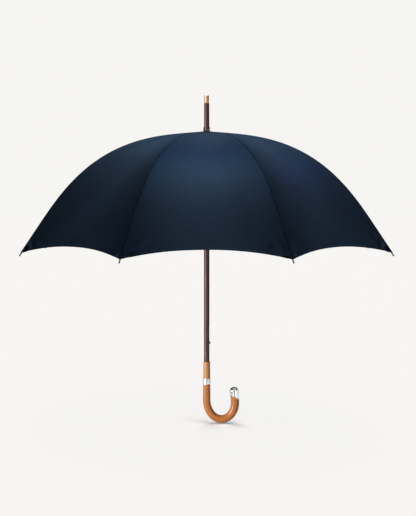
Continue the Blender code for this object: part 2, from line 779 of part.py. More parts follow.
def make_top_notch():
    """Slotted ring under the canopy, with a neck that is pinned to the shaft."""
    z = HUB.z
    bottom = z - RIM_HIGH - NECK_LENGTH
    profile = [(RING_BORE, z + RIM_LOW), (RIM_RADIUS, z + RIM_LOW), (RIM_RADIUS, z - RIM_HIGH),
               (NECK_RADIUS, z - RIM_HIGH - RIM_UNDER), (NECK_RADIUS, bottom), (RING_BORE, bottom)]
    notch = add_object("top_notch", profile_mesh("top_notch", profile, True), BLACK_FINISH)
    turn(notch, 32)
    boolean(notch, ring_cutters("top_groove", z, True), "DIFFERENCE")
    boolean(notch, slot_cutters("top_slots", z), "DIFFERENCE")
    hole = solids("neck_hole", rod(PIN_HOLE, 2.0 * NECK_RADIUS, (0.0, 0.0, pins()[0][1])))
    boolean(notch, hole, "DIFFERENCE")
    wire = ring_wire("top_notch_wire", RING_RADIUS, 0.0)
    add_object("top_notch_wire", wire, STEEL_FINISH).location.z = z


def make_runner():
    """Sliding sleeve with its grip, and the slotted ring with its wire."""
    z = RUNNER.z
    low = z - SLEEVE_BELOW
    high = z + SLEEVE_ABOVE
    profile = [(SLEEVE_BORE, high), (SLEEVE_RADIUS, high), (SLEEVE_RADIUS, low + GRIP_HEIGHT),
               (SLEEVE_RADIUS + GRIP_EDGE, low + GRIP_HEIGHT - GRIP_EDGE / 4),
               (GRIP_RADIUS, low + GRIP_HEIGHT - 2.0 * GRIP_EDGE), (GRIP_RADIUS, low + GRIP_EDGE),
               (GRIP_RADIUS - GRIP_EDGE, low), (SLEEVE_BORE, low)]
    sleeve_mesh = profile_mesh("runner_sleeve", profile, True)
    sleeve_mesh.transform(Matrix.Translation((0.0, 0.0, -z)))
    sleeve = add_object("runner_sleeve", sleeve_mesh, BLACK_FINISH)
    sleeve.location.z = z
    turn(sleeve)
    window = solids("window", box((0.0, -WINDOW_HALF, z - WINDOW_LOW),
                                  (GRIP_RADIUS, WINDOW_HALF, z - WINDOW_HIGH)))
    boolean(sleeve, window, "DIFFERENCE")
    bore = SLEEVE_RADIUS + GAP
    profile = [(bore, z + RIM_HIGH), (RIM_RADIUS, z + RIM_HIGH), (RIM_RADIUS, z - RIM_LOW),
               (SLOT_INNER, z - RIM_LOW), (SLOT_INNER - SKIRT_TAPER, z - RIM_LOW - SKIRT),
               (bore, z - RIM_LOW - SKIRT)]
    notch_mesh = profile_mesh("runner_notch", profile, True)
    notch_mesh.transform(Matrix.Translation((0.0, 0.0, -z)))
    notch = add_object("runner_notch", notch_mesh, BLACK_FINISH)
    notch.location.z = z
    turn(notch, 32)
    boolean(notch, ring_cutters("runner_groove", z, False), "DIFFERENCE")
    boolean(notch, slot_cutters("runner_slots", z), "DIFFERENCE")
    wire = add_object("runner_wire", ring_wire("runner_wire", RING_RADIUS, 0.0), STEEL_FINISH)
    wire.location.z = z
    return sleeve, notch, wire


def catch_outline(ledge, pivot):
    """Outline of a spring catch that stands out most at its ledge and turns at its other end."""
    away = 1.0 if pivot > ledge else -1.0
    eye = arc_points((SPRING_PIVOT_X, pivot), SPRING_EYE, 0.0, away * math.pi, 7)
    outer = SPRING_PIVOT_X + SPRING_THICK_AT_RAMP
    inner = SPRING_PIVOT_X + SPRING_HEEL
    return [(SPRING_OUT, ledge), (SPRING_OUT, ledge + away * SPRING_FLAT),
            (outer, ledge + away * SPRING_RAMP_END), *eye,
            (SPRING_PIVOT_X - SPRING_BACK, ledge + away * SPRING_BACK_END),
            (inner, ledge + away * SPRING_HEEL_END), (inner, ledge)]


def make_catch(name, ledge, pivot):
    """Flat spring catch in the shaft's slot, with its origin on its pivot."""
    outline = catch_outline(ledge, pivot)
    mesh = plate(name, [outline, circle((SPRING_PIVOT_X, pivot), PIN_HOLE)], SPRING_HALF)
    mesh.transform(Matrix.Translation((-SPRING_PIVOT_X, 0.0, -pivot)))
    catch = add_object(name, mesh, STEEL_FINISH)
    catch.location = (SPRING_PIVOT_X, 0.0, pivot)


# ---------------------------------------------------------------- handle

def handle_path():
    """Centre line of the handle, from its top to the end of the nose."""
    points = [Vector((0.0, 0.0, z)) for z in (HANDLE_TOP, *GRIP_STATIONS)]
    for i in range(13):
        angle = math.pi + math.pi / 2 * i / 12
        points.append(Vector((BEND_HALF + BEND_HALF * math.cos(angle), 0.0,
                              BEND_TOP + BEND_DROP * math.sin(angle))))
    bottom = BEND_TOP - BEND_DROP
    for i in range(1, 13):
        angle = -math.pi / 2 + math.pi / 2 * i / 12
        points.append(Vector((BEND_HALF + NOSE_HALF * math.cos(angle), 0.0,
                              bottom + NOSE_DROP + NOSE_DROP * math.sin(angle))))
    points.append(nose_point(CAP_ANGLE / 2))
    points += [nose_point(CAP_ANGLE + (NOSE_ANGLE - CAP_ANGLE) * i / 4) for i in range(5)]
    return points


def nose_point(angle):
    """Point on the nose's stretch of the centre line."""
    base = BEND_TOP - BEND_DROP + NOSE_DROP
    return Vector((BEND_HALF + NOSE_HALF * math.cos(angle), 0.0, base + NOSE_RISE * math.sin(angle)))


def handle_radii(points):
    """Radius at each point of the centre line: it grows evenly towards the nose."""
    lengths = [0.0]
    for first, second in zip(points, points[1:]):
        lengths.append(lengths[-1] + (second - first).length)
    return [HANDLE_RADIUS + (NOSE_RADIUS - HANDLE_RADIUS) * d / lengths[-1] for d in lengths]


def domed(points, radii, dome_height, grow=0.0):
    """Add a rounded end to a rod's points and radii."""
    along = (points[-1] - points[-2]).normalized()
    last = points[-1]
    full = radii[-1] + grow
    points = list(points)
    radii = [radius + grow for radius in radii]
    for i in range(1, 7):
        angle = math.pi / 2 * i / 6.25
        points.append(last + along * (dome_height + grow) * math.sin(angle))
        radii.append(full * math.cos(angle))
    return points, radii


def make_handle():
    """Crook handle with its socket, silver band and nose cap."""
    path = handle_path()
    radii = handle_radii(path)
    points, widths = domed(path, radii, NOSE_DOME)
    handle = add_object("crook_handle", tube("crook_handle", points, widths, 5), TAN_WOOD_FINISH)
    depth = SHAFT_TENON + BORE_DEEPER
    bore = solids("handle_bore", rod(HANDLE_BORE, depth, (0.0, 0.0, HANDLE_TOP), "Z", ROUND))
    boolean(handle, bore, "DIFFERENCE")
    inner = HANDLE_RADIUS + BAND_CLEARANCE
    outer = inner + BAND_THICKNESS
    low = COLLAR_BAND_TOP - COLLAR_BAND_LENGTH
    edge = BAND_EDGE
    profile = [(inner, COLLAR_BAND_TOP), (outer - edge, COLLAR_BAND_TOP),
               (outer, COLLAR_BAND_TOP - 2.0 * edge), (outer, low + 2.0 * edge),
               (outer - edge, low), (inner, low)]
    band_ring = add_object("handle_collar", profile_mesh("handle_collar", profile, True),
                           SILVER_FINISH)
    turn(band_ring, 32)
    nose = path[-5:]
    nose_radii = radii[-5:]
    shell_points, shell_radii = domed(nose, nose_radii, NOSE_DOME,
                                     CAP_CLEARANCE + CAP_THICKNESS)
    cap = add_object("nose_cap", tube("nose_cap", shell_points, shell_radii, 5), SILVER_FINISH)
    longer = path[-7:]
    hollow_points, hollow_radii = domed(longer, radii[-7:], NOSE_DOME, CAP_CLEARANCE)
    hollow = tube("cap_hollow", hollow_points, hollow_radii, 5)
    boolean(cap, add_object("cap_hollow", hollow, helper=True), "DIFFERENCE")


# ---------------------------------------------------------------- assembly

def make_ribs_and_cloth():
    """Eight ribs, stretchers, tips and gores."""
    inner = from_joint(rib_inner_template(), HUB)
    outer = from_joint(rib_outer_template(), FLEX)
    stretcher = from_joint(stretcher_template(), RIVET)
    tip = tip_mesh()
    gore = gore_mesh()
    mouth = dome(RIB_ARC - TIP_SOCKET, TIP_DEPTH)
    end_slope = slope(RIB_ARC)
    down_rib = Matrix.Rotation(-(math.pi / 2 - end_slope), 4, "Y")
    stretchers = []
    outers = []
    for k in range(1, RIBS + 1):
        rib = at_joint(f"rib_{k}_inner", inner, HUB, k, BLACK_FINISH)
        end = at_joint(f"rib_{k}_outer", outer, FLEX, k, BLACK_FINISH)
        arm = at_joint(f"stretcher_{k}", stretcher, RIVET, k, BLACK_FINISH)
        point = add_object(f"tip_{k}", tip, BLACK_FINISH)
        point.matrix_world = turned_to(k) @ Matrix.Translation(mouth) @ down_rib
        cloth = at_joint(f"canopy_gore_{k}", gore, HUB, k, CLOTH_FINISH)
        follow(end, rib)
        follow(arm, rib)
        follow(point, end)
        follow(cloth, rib)
        stretchers.append(arm)
        outers.append(end)
    return stretchers, outers


clear_scene()
PARTS = collection("stick_umbrella")
HELPERS = collection("cutters")
CLOTH_FINISH = material("navy_cloth", NAVY, 0.62)
DARK_WOOD_FINISH = material("dark_wood", DARK_WOOD, 0.28)
TAN_WOOD_FINISH = material("tan_wood", TAN_WOOD, 0.30)
BRASS_FINISH = material("brass", BRASS, 0.32, 1.0)
SILVER_FINISH = material("silver", SILVER, 0.12, 1.0)
BLACK_FINISH = material("black_steel", BLACK_STEEL, 0.35, 0.6)
STEEL_FINISH = material("bright_steel", BRIGHT_STEEL, 0.25, 1.0)

make_shaft()
make_pins()
make_ferrule()
make_apex_collar()
make_rosette()
make_top_notch()
RUNNER_PARTS = make_runner()
make_catch("top_spring", LEDGE_Z, LEDGE_Z - SPRING_LENGTH)
make_catch("hand_spring", CATCH_Z, CATCH_Z + SPRING_LENGTH)
make_handle()
STRETCHERS, OUTERS = make_ribs_and_cloth()
STRAP, BUTTON = make_strap()
follow(STRAP, OUTERS[STRAP_RIB - 1])
follow(BUTTON, OUTERS[STRAP_RIB - 1])
RUNNER_HINGE = bpy.data.objects.new("runner_hinge", None)
PARTS.objects.link(RUNNER_HINGE)
RUNNER_HINGE.matrix_world = turned_to(1) @ Matrix.Translation(RUNNER)
follow(RUNNER_HINGE, STRETCHERS[0])
for part in RUNNER_PARTS:
    follow(part, RUNNER_HINGE)
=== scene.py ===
"""Stick umbrella: the cloth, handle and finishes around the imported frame, and a plain studio.

Metres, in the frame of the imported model. The origin is on the shaft's axis and the crook opens
towards +X. Ribs are numbered 1 to 8 and the gore of the same number lies after its rib.
"""
import json
import math

import bpy
import numpy as np
from mathutils import Matrix, Vector

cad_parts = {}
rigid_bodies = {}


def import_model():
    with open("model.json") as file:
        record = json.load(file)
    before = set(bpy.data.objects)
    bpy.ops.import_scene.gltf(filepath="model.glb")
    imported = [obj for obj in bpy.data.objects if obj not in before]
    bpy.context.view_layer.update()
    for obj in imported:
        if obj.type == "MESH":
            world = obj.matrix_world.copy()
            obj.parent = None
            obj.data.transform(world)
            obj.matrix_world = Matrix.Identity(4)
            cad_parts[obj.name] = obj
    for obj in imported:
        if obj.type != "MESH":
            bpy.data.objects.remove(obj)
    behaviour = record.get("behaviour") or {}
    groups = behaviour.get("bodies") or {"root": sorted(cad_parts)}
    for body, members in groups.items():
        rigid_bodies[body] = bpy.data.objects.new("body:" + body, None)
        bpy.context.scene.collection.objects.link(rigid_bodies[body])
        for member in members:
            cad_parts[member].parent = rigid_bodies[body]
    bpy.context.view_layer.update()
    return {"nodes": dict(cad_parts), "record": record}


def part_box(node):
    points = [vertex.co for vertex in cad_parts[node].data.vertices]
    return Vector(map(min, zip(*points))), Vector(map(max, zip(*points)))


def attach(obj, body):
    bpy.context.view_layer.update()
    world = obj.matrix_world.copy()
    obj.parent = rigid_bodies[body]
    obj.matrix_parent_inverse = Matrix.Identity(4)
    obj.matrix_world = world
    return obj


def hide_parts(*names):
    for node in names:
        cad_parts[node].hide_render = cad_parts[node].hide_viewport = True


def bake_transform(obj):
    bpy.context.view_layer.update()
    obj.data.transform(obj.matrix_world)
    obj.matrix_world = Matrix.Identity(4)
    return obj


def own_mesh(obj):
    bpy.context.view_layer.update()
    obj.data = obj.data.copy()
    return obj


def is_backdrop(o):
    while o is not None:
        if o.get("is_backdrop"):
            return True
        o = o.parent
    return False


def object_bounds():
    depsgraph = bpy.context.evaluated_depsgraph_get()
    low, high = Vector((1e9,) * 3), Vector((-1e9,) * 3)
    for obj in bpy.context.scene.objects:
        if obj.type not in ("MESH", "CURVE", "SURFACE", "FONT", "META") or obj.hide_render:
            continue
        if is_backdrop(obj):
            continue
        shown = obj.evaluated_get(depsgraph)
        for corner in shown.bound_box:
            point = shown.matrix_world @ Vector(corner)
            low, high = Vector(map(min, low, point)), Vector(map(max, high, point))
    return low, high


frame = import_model()

# Dome: a rib's slope below the horizontal grows from the hub to the tip
RIBS = 8
STEP = math.tau / RIBS
FIRST = STEP / 2
APEX_Z = 0.690
RIB_ARC = 0.642
SLOPE_START = math.radians(5.5)
SLOPE_GAIN = math.radians(50.0)
SLOPE_FROM = 0.06
SLOPE_SPAN = 0.82
FLEX_ARC = 0.2842  # where each rib bends
DOME_STEPS = 1200
DOME_CELL = RIB_ARC * 1.02 / DOME_STEPS  # the profile runs a little past the hem

# Cloth between two ribs
CLOTH = 0.0004  # thickness
HOLE = 0.0095  # at the hub
SAG = 0.007
SAG_SPAN = 0.8  # share of a half wave from the hub to the hem
SCALLOP = 0.029
PUCKER = 0.0022
PUCKER_REACH = 0.060
PUCKER_PAST = 0.012  # the folds fan out from a point this far past the hem
PUCKER_NEAREST = 0.004
PUCKER_WAVES = 13.0
PUCKER_FADE = 3.0
PUCKER_PHASES = (1.7, 2.9)  # by gore and by corner
RIPPLES = ((0.00035, 9.0, 21.0, 2.1), (0.0002, 17.0, -13.0, 0.9))  # height; across, along, gore

# Panels of a half gore: crown, upper and lower, which meet edge to edge
ACROSS = 14
CROWN_ARC = 0.120
CROWN_ROWS = 11
UPPER_ROWS = 15
LOWER_ROWS = 44
HEM = 0.007  # depth of the turned hem
HEM_EXTRA = 0.0005  # its extra thickness
HEM_SHARES = (0.979, 0.984, 0.992, 1.0)  # last rows, as shares of the way from bend to hem
UNDERLAP = 0.020  # tongue of the upper panel under the lower one
UNDERLAP_START = 0.0015
UNDERLAP_SHARES = (0.05, 0.35, 0.7, 1.0)
UNDERLAP_DROP = 0.0006

# How a half gore would flatten when the canopy closes, in the frame of its rib: axis, offset, share
# kept
FOLDS = {
    "crown": ((0.0459, 0.9977, -0.0507), -0.02986, 0.331),
    "upper": ((0.0196, 0.9984, -0.0537), -0.03102, 0.171),
    "lower": ((-0.1832, 0.9646, -0.1897), -0.17047, 0.107),
}

# Seam over each rib: its section, from edge to edge
SEAM_HALF = 0.0034
SEAM_LIFT = 0.00035
SEAM_OFFSETS = (-1.0, -0.9, -0.62, -0.3, 0.0, 0.3, 0.62, 0.9, 1.0)
SEAM_LIFTS = (0.02, 0.75, 1.0, 0.92, 1.05, 0.92, 1.0, 0.75, 0.02)
SEAM_SUNK = 0.0001
SEAM_START = 0.016
SEAM_SHORT = 0.0015  # how far it stops before the rib's end
SEAM_ROWS = 150

# Look of the cloth
YARN_PITCH = 0.00042
STITCH_PITCH = 0.0026
STITCH_IN = 0.0055  # from the hem's edge
STITCH_OUT = 0.0023  # from the middle of a seam
# painted shade: share of the cloth's colour kept at the ribs and at a gore's middle
SHADE_AT_RIB = 0.55
SHADE_MIDDLE = 1.05
# painted highlight along a seam's middle and painted shade along its edges
SEAM_RIDGE_HIGHLIGHT = 1.05
SEAM_EDGE_SHADE = 0.35
SATIN = 0.25
SATIN_TINT = (0.112, 0.172, 0.270, 1.0)
SHEEN_TINT = (0.36, 0.60, 1.0, 1.0)

# Round patch under the collar at the top
PATCH_TURNS = 96
PATCH_RINGS = 7
PATCH_TUCK = 0.0022  # under the collar
PATCH_DROP = 0.00035
PATCH_WAVE = 0.00015
PINKING = 0.0009

# Tie strap, on the gore after a far rib
STRAP_RIB = 2
STRAP_START = 0.470
STRAP_END = 0.598
STRAP_CENTRE = 0.022
STRAP_HALF = 0.008
STRAP_LIFT = 0.0008
STRAP_THICK = 0.0009
STRAP_ROWS = 48
STRAP_ROUND = 0.93  # share of its length where the rounded end starts
STRAP_OFFSETS = (-1.0, -0.93, -0.8, -0.5, 0.0, 0.5, 0.8, 0.93, 1.0)
STRAP_CROWN = (0.55, 0.9, 1.0, 0.93, 0.9, 0.93, 1.0, 0.9, 0.55)
STRAP_STITCH = 0.0066  # from its middle line

# Handle: quarter ellipses round the middle of the mouth join the grip to the nose
HANDLE_TOP = 0.054
HANDLE_RADIUS = 0.0095
HANDLE_EDGE = 0.0008
HANDLE_SIDES = 40
NOSE_RADIUS = 0.0120
BEND_TOP = -0.053
BEND_HALF = 0.0408
BEND_DROP = 0.0545
NOSE_HALF = 0.0379
NOSE_DROP = 0.0455
NOSE_RISE = 0.099
NOSE_ANGLE = math.radians(21.0)
NOSE_LEVEL = BEND_TOP - BEND_DROP + NOSE_DROP
NOSE_DOME = 0.008
GRIP_STEPS = 20
BEND_STEPS = 36
NOSE_STEPS = 10
DOME_RINGS = 14
END_GRAIN = 0.001

# Nose cap
CAP_ANGLE = math.radians(4.9)
CAP_PROUD = 0.0009
CAP_GAP = 0.0002  # between the shell and the wood
CAP_TAPER = 0.00012
CAP_SLANT = 0.0145
CAP_SLANT_ROWS = 10
CAP_SIDES = 64
LOBE = 0.0030
LOBE_POWER = 0.7

# Studio
CAMERA_PLACE = (0.0036, -2.667, 0.5036)
CAMERA_DIP = 3.46  # degrees below the horizontal
CAMERA_LENS = 67.53
PALE = (0.921, 0.913, 0.896)
SKY_TINT = (0.86, 0.90, 1.0, 1.0)
SKY_STRENGTH = 0.03
SHADOW_SHARE = 0.75  # share of the floor's light that the suns bring
SHADOW_TINT = (0.50, 1.06, 1.30)
FLOOR_REACH = 30.0
FLOOR_DROP = 0.0005
FLOOR_SPARE = 0.02  # share of it that the sky brings
SURROUND_HALF = 35.0
SURROUND_RADIUS = 40.0
SURROUND_SIDES = 48
CLOTH_PIECES = ("cloth_", "rib_seam_", "apex_patch", "strap")
CANOPY = (0.0, 0.0, 0.45)
GRIP = (0.0, 0.0, 0.0)
# Lights: name, place, size, power
OVERHEAD = (("overhead", (0.0, 0.0, 2.7), (1.4, 1.4), 46.0),
            ("over_front", (0.1, -1.0, 2.5), (1.0, 1.0), 9.0),
            ("over_back", (0.0, 1.4, 2.3), (1.4, 1.4), 48.0),
            ("over_right", (1.2, 1.2, 2.3), (1.0, 1.0), 36.0))
BESIDE = (("left", (-1.9, -1.5, 0.2), (0.8, 1.6), 76.0),
          ("right", (1.8, -1.9, 0.2), (0.7, 1.4), 9.0))
SMALL_CARDS = (("card_front", (0.06, -0.30, 0.42), (0.4, 0.4), 0.30),
               ("card_top", (0.06, 0.03, 0.30), (0.4, 0.4), 0.20))
CARD_TURNS = (-165.0, -118.0, -58.0, 0.0, 55.0, 140.0)
CARD_RADIUS = 1.6
CARD_LEVEL = 0.1
CARD_SIZE = (0.95, 1.6)
CARD_POWER = 4.3
BOUNCE_SIZE = (2.4, 2.4)
BOUNCE_POWER = 5.0
BOUNCE_LIFT = 0.001
SUN_WIDTH = math.radians(34.0)
SUN_FALLS = (("contact_front", (0.12, -0.38, -0.92)), ("contact_back", (-0.14, 0.26, -0.95)))


# ---------------------------------------------------------------- dome

def slope(arc):
    """Angle of the dome below the horizontal, at a distance along a rib from the axis."""
    t = np.clip((arc / RIB_ARC - SLOPE_FROM) / SLOPE_SPAN, 0.0, 1.0)
    return SLOPE_START + SLOPE_GAIN * t * t * (3.0 - 2.0 * t)


MIDDLES = (np.arange(DOME_STEPS) + 0.5) * DOME_CELL
ENDS = np.arange(DOME_STEPS + 1) * DOME_CELL
RADII = np.concatenate([[0.0], np.cumsum(np.cos(slope(MIDDLES)))]) * DOME_CELL
FALLS = np.concatenate([[0.0], np.cumsum(np.sin(slope(MIDDLES)))]) * DOME_CELL


def dome(arc):
    """Radius and height of the dome's ribs, at distances along a rib from the axis."""
    return np.interp(arc, ENDS, RADII), APEX_Z - np.interp(arc, ENDS, FALLS)


def rib_azimuth(index):
    """Azimuth of rib 1 to 8."""
    return FIRST + (index - 1) * STEP


def rib_gap(arc):
    """Straight distance from one rib to the next."""
    radius, _ = dome(arc)
    return 2.0 * radius * math.sin(STEP / 2)


def gore_before(rib):
    """Number of the gore on the other side of a rib."""
    return (rib - 2) % RIBS + 1


def hem_arc(across):
    """Distance from the axis to the hem, across 0 to 1 between two ribs."""
    return RIB_ARC - SCALLOP * 4.0 * across * (1.0 - across)


def pucker(gore, across, arc):
    """How far small folds at the gore's two lower corners stand out."""
    chord = rib_gap(arc)
    up = np.maximum(RIB_ARC + PUCKER_PAST - arc, PUCKER_NEAREST)
    total = 0.0
    for corner, side in enumerate((across, 1.0 - across)):
        away = np.maximum(side * chord, 1e-5)
        reach = np.hypot(away, up)
        angle = np.arctan2(away, up)
        phase = PUCKER_PHASES[0] * gore + PUCKER_PHASES[1] * corner
        inside = np.sin(np.minimum(angle * PUCKER_FADE, math.pi))
        waves = np.sin(angle * PUCKER_WAVES + phase) * inside
        total = total + waves * np.exp(-(reach / PUCKER_REACH) ** 2)
    return PUCKER * total


def ripple(gore, across, arc):
    """Very shallow waves of stretched cloth."""
    waves = [high * np.sin(across * wide + arc * down + gore * turn)
             for high, wide, down, turn in RIPPLES]
    return np.sin(math.pi * across) ** 2 * sum(waves)


def gore_points(gore, across, arc, depth=0.0):
    """Points of a gore, across 0 to 1 between its two ribs, at a depth under its outer face."""
    across = np.asarray(across, float)
    arc = np.asarray(arc, float)
    radius, height = dome(arc)
    start = rib_azimuth(gore)
    first, second = (np.stack([radius * math.cos(turn), radius * math.sin(turn), height], -1)
                     for turn in (start, start + STEP))
    point = first * (1.0 - across[..., None]) + second * across[..., None]
    sag = SAG * np.sin(math.pi * across) ** 2 * np.sin(math.pi * arc / RIB_ARC * SAG_SPAN)
    inward = sag + depth - ripple(gore, across, arc) - pucker(gore, across, arc)
    tilt = slope(arc)
    middle = start + STEP / 2
    normal = np.stack([-np.sin(tilt) * math.cos(middle), -np.sin(tilt) * math.sin(middle),
                       -np.cos(tilt)], -1)
    return point + normal * inward[..., None]


def unit_normals(down, side):
    """Unit normals of a surface from its two directions."""
    normal = np.cross(down, side)
    return normal / np.linalg.norm(normal, axis=-1, keepdims=True)


def gore_normals(gore, across, arc):
    """Outward unit normals of a gore's outer face."""
    step = 1e-4
    side = gore_points(gore, across + step, arc) - gore_points(gore, across - step, arc)
    down = gore_points(gore, across, arc + step) - gore_points(gore, across, arc - step)
    return unit_normals(down, side)


# ---------------------------------------------------------------- meshes

def new_object(name, mesh, finish):
    """Link a mesh under a name, with a material."""
    obj = bpy.data.objects.new(name, mesh)
    bpy.context.scene.collection.objects.link(obj)
    mesh.materials.append(finish)
    return obj


def new_mesh(name, verts, faces):
    """A mesh with all its faces shaded smooth."""
    mesh = bpy.data.meshes.new(name)
    mesh.from_pydata(verts, [], faces)
    mesh.polygons.foreach_set("use_smooth", [True] * len(mesh.polygons))
    return mesh


def sheet_faces(rows, width):
    """Faces of a closed solid between two grids: 1 marks the outer, -1 the inner, 0 the edge."""
    count = rows * width
    faces = []
    kinds = []
    for j in range(rows - 1):
        for i in range(width - 1):
            a = j * width + i
            quad = (a, a + width, a + width + 1, a + 1)
            faces += [quad, tuple(v + count for v in reversed(quad))]
            kinds += [1, -1]
    border = list(range(width))
    border += [j * width + width - 1 for j in range(1, rows)]
    border += [(rows - 1) * width + i for i in range(width - 2, -1, -1)]
    border += [j * width for j in range(rows - 2, 0, -1)]
    for a, b in zip(border, border[1:] + border[:1]):
        faces.append((a, b, b + count, a + count))
        kinds.append(0)
    return faces, kinds


def agreement(verts, face, normal):
    """Positive if a face's winding agrees with a normal."""
    a, b, c = (verts[i] for i in face[:3])
    return float(np.cross(b - a, c - a) @ normal)


def sheet_mesh(name, upper, lower, normals, uv, marks=None):
    """Closed thin solid between two grids, with smooth normals on both faces and flat edges."""
    rows, width = upper.shape[:2]
    count = rows * width
    verts = np.concatenate([upper.reshape(-1, 3), lower.reshape(-1, 3)])
    outward = normals.reshape(-1, 3)
    faces, kinds = sheet_faces(rows, width)
    mesh = new_mesh(name, verts.tolist(), faces)
    if agreement(verts, faces[0], outward[0]) < 0.0:
        mesh.flip_normals()
    loop_normals = np.zeros((len(mesh.loops), 3))
    uv_layer = mesh.uv_layers.new(name="UVMap")
    flat_uv = uv.reshape(-1, 2)
    for face, kind in zip(mesh.polygons, kinds):
        for k in face.loop_indices:
            place = mesh.loops[k].vertex_index % count
            loop_normals[k] = outward[place] * kind if kind else face.normal
            uv_layer.data[k].uv = flat_uv[place]
    for label, values in (marks or {}).items():
        layer = mesh.attributes.new(label, "FLOAT", "POINT")
        layer.data.foreach_set("value", np.tile(values.reshape(-1), 2).astype(np.float32))
    mesh.normals_split_custom_set(loop_normals.tolist())
    return mesh


def path_lengths(points):
    """Distance along a path, at each of its points."""
    lengths = [0.0]
    for first, second in zip(points, points[1:]):
        lengths.append(lengths[-1] + (second - first).length)
    return lengths


def tube_rings(points, radii, sides):
    """Rings of points round a centre line in the XZ plane."""
    rings = []
    last = len(points) - 1
    for i, (point, radius) in enumerate(zip(points, radii)):
        along = (points[min(i + 1, last)] - points[max(i - 1, 0)]).normalized()
        outward = Vector((along.z, 0.0, -along.x))
        ring = []
        for k in range(sides):
            angle = math.tau * k / sides
            around = outward * math.cos(angle) + Vector((0.0, 1.0, 0.0)) * math.sin(angle)
            ring.append(point + around * radius)
        rings.append(ring)
    return rings


def tube_mesh(name, points, radii, sides):
    """Closed round rod along points in the XZ plane, with a UV map in metres along and around."""
    verts = [v for ring in tube_rings(points, radii, sides) for v in ring]
    lengths = path_lengths(points)
    wide = math.tau * HANDLE_RADIUS / sides
    faces = []
    places = []
    for i, (low, high) in enumerate(zip(lengths, lengths[1:])):
        for k in range(sides):
            a = i * sides + k
            b = i * sides + (k + 1) % sides
            faces.append((a, b, b + sides, a + sides))
            left, right = k * wide, (k + 1) * wide
            places += [(left, low), (right, low), (right, high), (left, high)]
    last = (len(points) - 1) * sides
    faces.append(tuple(reversed(range(sides))))
    faces.append(tuple(last + k for k in range(sides)))
    places += [(END_GRAIN * math.cos(k), END_GRAIN * math.sin(k)) for k in range(sides)] * 2
    mesh = new_mesh(name, verts, faces)
    layer = mesh.uv_layers.new(name="UVMap")
    for corner, place in zip(layer.data, places):
        corner.uv = place
    return mesh


# ---------------------------------------------------------------- materials

class Nodes:
    """A material's node tree, with short ways to add to it."""

    def __init__(self, name):
        self.material = bpy.data.materials.new(name)
        self.material.use_nodes = True
        self.tree = self.material.node_tree
        self.shader = self.tree.nodes["Principled BSDF"]

    def add(self, kind, **settings):
        """A node with some of its settings."""
        node = self.tree.nodes.new(kind)
        for key, value in settings.items():
            setattr(node, key, value)
        return node

    def link(self, source, target):
        """Join an output to an input."""
        self.tree.links.new(source, target)

    def feed(self, node, key, value):
        """Give an input of a node a number, an RGB triple or another node's output."""
        if isinstance(value, tuple):
            node.inputs[key].default_value = (*value, 1.0)
        elif isinstance(value, (int, float)):
            node.inputs[key].default_value = value
        else:
            self.link(value, node.inputs[key])

    def sets(self, **values):
        """Set inputs of the shader, with spaces written as underscores."""
        for key, value in values.items():
            self.shader.inputs[key.replace("_", " ")].default_value = value

    def drives(self, **sockets):
        """Link outputs to inputs of the shader, with spaces written as underscores."""
        for key, socket in sockets.items():
            self.link(socket, self.shader.inputs[key.replace("_", " ")])

    def mapped(self, source, scale):
        """Texture coordinates, stretched."""
        coordinates = self.add("ShaderNodeTexCoord")
        mapping = self.add("ShaderNodeMapping")
        mapping.inputs["Scale"].default_value = scale
        self.link(coordinates.outputs[source], mapping.inputs["Vector"])
        return mapping.outputs["Vector"]

    def axes(self, source):
        """The X, Y and Z of some coordinates."""
        apart = self.add("ShaderNodeSeparateXYZ")
        self.link(self.mapped(source, (1.0, 1.0, 1.0)), apart.inputs["Vector"])
        return apart.outputs

    def mark(self, name):
        """A value kept at each point of the mesh."""
        return self.add("ShaderNodeAttribute", attribute_name=name).outputs["Fac"]

    def noise(self, vector, detail, roughness=0.55):
        """Noise over some coordinates."""
        node = self.add("ShaderNodeTexNoise")
        for key, value in (("Vector", vector), ("Scale", 1.0), ("Detail", detail),
                           ("Roughness", roughness)):
            self.feed(node, key, value)
        return node.outputs["Fac"]

    def ramp(self, value, *stops):
        """Colours by value."""
        node = self.add("ShaderNodeValToRGB")
        elements = node.color_ramp.elements
        elements[0].position, elements[0].color = stops[0][0], (*stops[0][1], 1.0)
        elements[1].position, elements[1].color = stops[-1][0], (*stops[-1][1], 1.0)
        for place, colour in stops[1:-1]:
            made = elements.new(place)
            made.color = (*colour, 1.0)
        self.link(value, node.inputs["Fac"])
        return node.outputs["Color"]

    def span(self, value, low, high, to_low, to_high):
        """A value carried from one range to another."""
        node = self.add("ShaderNodeMapRange")
        for key, number in (("Value", value), ("From Min", low), ("From Max", high),
                            ("To Min", to_low), ("To Max", to_high)):
            self.feed(node, key, number)
        return node.outputs["Result"]

    def math(self, operation, first, second=0.0):
        """Arithmetic on one or two values."""
        node = self.add("ShaderNodeMath", operation=operation)
        self.feed(node, 0, first)
        self.feed(node, 1, second)
        return node.outputs["Value"]

    def sum(self, first, second):
        """Two values added."""
        return self.math("ADD", first, second)

    def product(self, first, second):
        """Two values multiplied."""
        return self.math("MULTIPLY", first, second)

    def wave(self, value, pitch):
        """A sine that repeats at a pitch."""
        return self.math("SINE", self.product(value, math.tau / pitch))

    def mix(self, share, first, second, blend="MIX"):
        """Two colours mixed; each is a socket or an RGB triple."""
        node = self.add("ShaderNodeMix", data_type="RGBA", blend_type=blend)
        for key, value in ((0, share), (6, first), (7, second)):
            self.feed(node, key, value)
        return node.outputs[2]

    def bump(self, height, distance, strength, after=None):
        """A bump from a height, on top of another bump if there is one."""
        node = self.add("ShaderNodeBump")
        node.inputs["Strength"].default_value = strength
        node.inputs["Distance"].default_value = distance
        self.link(height, node.inputs["Height"])
        if after is not None:
            self.link(after, node.inputs["Normal"])
        return node.outputs["Normal"]


